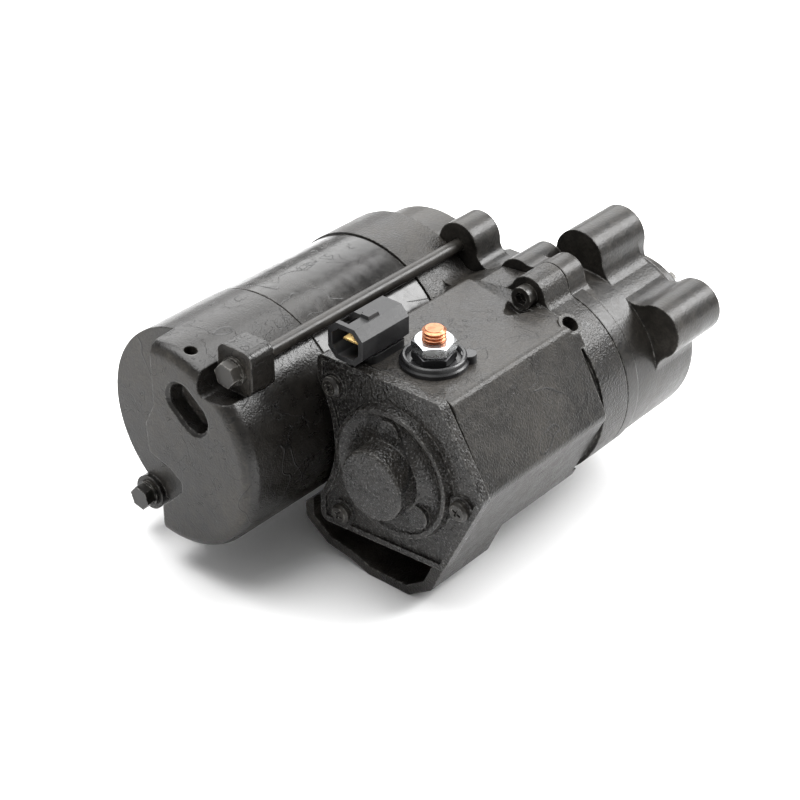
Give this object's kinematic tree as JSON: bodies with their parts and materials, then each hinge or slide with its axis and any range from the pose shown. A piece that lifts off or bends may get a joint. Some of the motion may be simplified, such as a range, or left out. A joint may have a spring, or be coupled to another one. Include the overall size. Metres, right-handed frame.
{
  "type": "starter motor",
  "caption": "Offset gear-reduction starter motor: motor, idler, overrunning clutch and coaxial solenoid that throws the pinion.",
  "frame": {"origin": "centre of the mounting flange's front face, on the pinion's axis", "axes": "+X along the pinion's axis towards the drive end, +Y towards the electric motor beside it, +Z towards the battery terminal"},
  "size_m": [0.1976, 0.1457, 0.0989],
  "materials": {
    "cap_paint": "semi-gloss black paint over a rough casting",
    "yoke_paint": "gloss black paint on drawn steel",
    "case_paint": "semi-gloss black paint over a die casting, grained at the sides",
    "drive_paint": "semi-gloss black paint over a die casting",
    "cover_paint": "rough gloss black paint on a cast cover",
    "bolt_paint": "black painted steel, worn at the corners",
    "terminal_black": "moulded black phenolic",
    "connector_plastic": "moulded black nylon",
    "bobbin_nylon": "moulded natural nylon",
    "insulator_board": "pressed brown fibre",
    "stud_copper": "bare copper with a cut thread",
    "contact_copper": "pressed bare copper",
    "blade_brass": "stamped brass",
    "winding_enamel": "enamelled copper wire",
    "zinc_plate": "bright zinc plate",
    "black_oxide": "oiled black oxide",
    "ground_steel": "ground bearing steel",
    "hardened_steel": "carburised gear steel",
    "turned_steel": "turned mild steel",
    "lamination_steel": "stacked punched laminations",
    "spring_wire": "drawn spring wire",
    "magnet_ferrite": "ground ferrite",
    "brush_carbon": "copper-graphite brush",
    "gasket_paper": "pressed fibre gasket",
    "seal_rubber": "nitrile rubber",
    "lead_rubber": "rubber-covered lead"
  },
  "bodies": {
    "housing": {"end_cover": "cap_paint", "yoke": "yoke_paint", "centre_housing": "case_paint", "drive_housing": "drive_paint", "solenoid_cover": "cover_paint", "cover_gasket": "gasket_paper", "cover_screws": "bolt_paint", "joint_screws": "bolt_paint", "through_bolts": "bolt_paint", "field_magnets": "magnet_ferrite", "brush_holder": "insulator_board", "brush_springs": "spring_wire", "bearing_balls": "ground_steel", "armature_rear_outer_race": "ground_steel", "armature_front_outer_race": "ground_steel", "clutch_rear_outer_race": "ground_steel", "clutch_front_outer_race": "ground_steel", "idler_rollers": "ground_steel", "idler_pin": "ground_steel", "solenoid_core": "turned_steel", "coil_bobbin": "bobbin_nylon", "coil_winding": "winding_enamel", "plunger_spring": "spring_wire", "fixed_contacts": "contact_copper", "battery_stud": "stud_copper", "stud_nut": "black_oxide", "battery_nut": "zinc_plate", "stud_insulator": "terminal_black", "motor_stud": "stud_copper", "motor_stud_insulator": "terminal_black", "motor_stud_nut": "zinc_plate", "motor_lead": "lead_rubber", "output_seal": "seal_rubber", "control_connector": "connector_plastic", "control_blade": "blade_brass"},
    "armature": {"armature_shaft": "hardened_steel", "armature_core": "lamination_steel", "armature_windings": "winding_enamel", "commutator": "contact_copper", "armature_rear_inner_race": "ground_steel", "armature_front_inner_race": "ground_steel"},
    "idler": {"idler_gear": "hardened_steel"},
    "clutch": {"clutch_gear": "hardened_steel", "clutch_rollers": "ground_steel", "clutch_rear_inner_race": "ground_steel"},
    "sleeve": {"clutch_sleeve": "turned_steel", "clutch_front_inner_race": "ground_steel", "return_spring": "spring_wire"},
    "pinion": {"pinion_shaft": "turned_steel", "drive_pinion": "hardened_steel", "pinion_snap_ring": "spring_wire", "push_ball": "ground_steel"},
    "plunger": {"plunger": "turned_steel", "plunger_rod": "turned_steel", "contact_disc": "contact_copper", "disc_insulator": "insulator_board"},
    "brush_1": {"brush_1": "brush_carbon"},
    "brush_2": {"brush_2": "brush_carbon"},
    "brush_3": {"brush_3": "brush_carbon"},
    "brush_4": {"brush_4": "brush_carbon"}
  },
  "joints": [
    {"name": "armature_spin", "type": "hinge", "parent": "housing", "child": "armature", "pos_m": [-0.1, 0.0665, 0], "axis": [1, 0, 0], "continuous": true},
    {"name": "idler_spin", "type": "hinge", "parent": "housing", "child": "idler", "pos_m": [-0.05, 0.042, 0], "axis": [1, 0, 0], "continuous": true},
    {"name": "clutch_spin", "type": "hinge", "parent": "housing", "child": "clutch", "pos_m": [-0.05, 0, 0], "axis": [1, 0, 0], "continuous": true},
    {"name": "overrun", "type": "hinge", "parent": "clutch", "child": "sleeve", "pos_m": [-0.03, 0, 0], "axis": [1, 0, 0], "continuous": true},
    {"name": "pinion_throw", "type": "slide", "parent": "sleeve", "child": "pinion", "axis": [1, 0, 0], "range_m": [0, 0.013], "stiffness_N_per_m": 600, "springref_m": -0.008, "deforming": ["return_spring"]},
    {"name": "plunger_stroke", "type": "slide", "parent": "housing", "child": "plunger", "axis": [1, 0, 0], "range_m": [0, 0.013], "stiffness_N_per_m": 600, "springref_m": -0.008, "deforming": ["plunger_spring"]},
    {"name": "brush_1_lift", "type": "slide", "parent": "housing", "child": "brush_1", "axis": [0, 0.7071, 0.7071], "range_m": [0, 0.0015], "stiffness_N_per_m": 400, "springref_m": -0.01, "deforming": ["brush_springs"]},
    {"name": "brush_2_lift", "type": "slide", "parent": "housing", "child": "brush_2", "axis": [0, -0.7071, 0.7071], "range_m": [0, 0.0015], "stiffness_N_per_m": 400, "springref_m": -0.01, "deforming": ["brush_springs"]},
    {"name": "brush_3_lift", "type": "slide", "parent": "housing", "child": "brush_3", "axis": [0, -0.7071, -0.7071], "range_m": [0, 0.0015], "stiffness_N_per_m": 400, "springref_m": -0.01, "deforming": ["brush_springs"]},
    {"name": "brush_4_lift", "type": "slide", "parent": "housing", "child": "brush_4", "axis": [0, 0.7071, -0.7071], "range_m": [0, 0.0015], "stiffness_N_per_m": 400, "springref_m": -0.01, "deforming": ["brush_springs"]}
  ],
  "couplings": [
    {"joint": "idler_spin", "follows": "armature_spin", "ratio": -0.64706},
    {"joint": "clutch_spin", "follows": "armature_spin", "ratio": 0.35484},
    {"joint": "pinion_throw", "follows": "plunger_stroke", "ratio": 1}
  ]
}
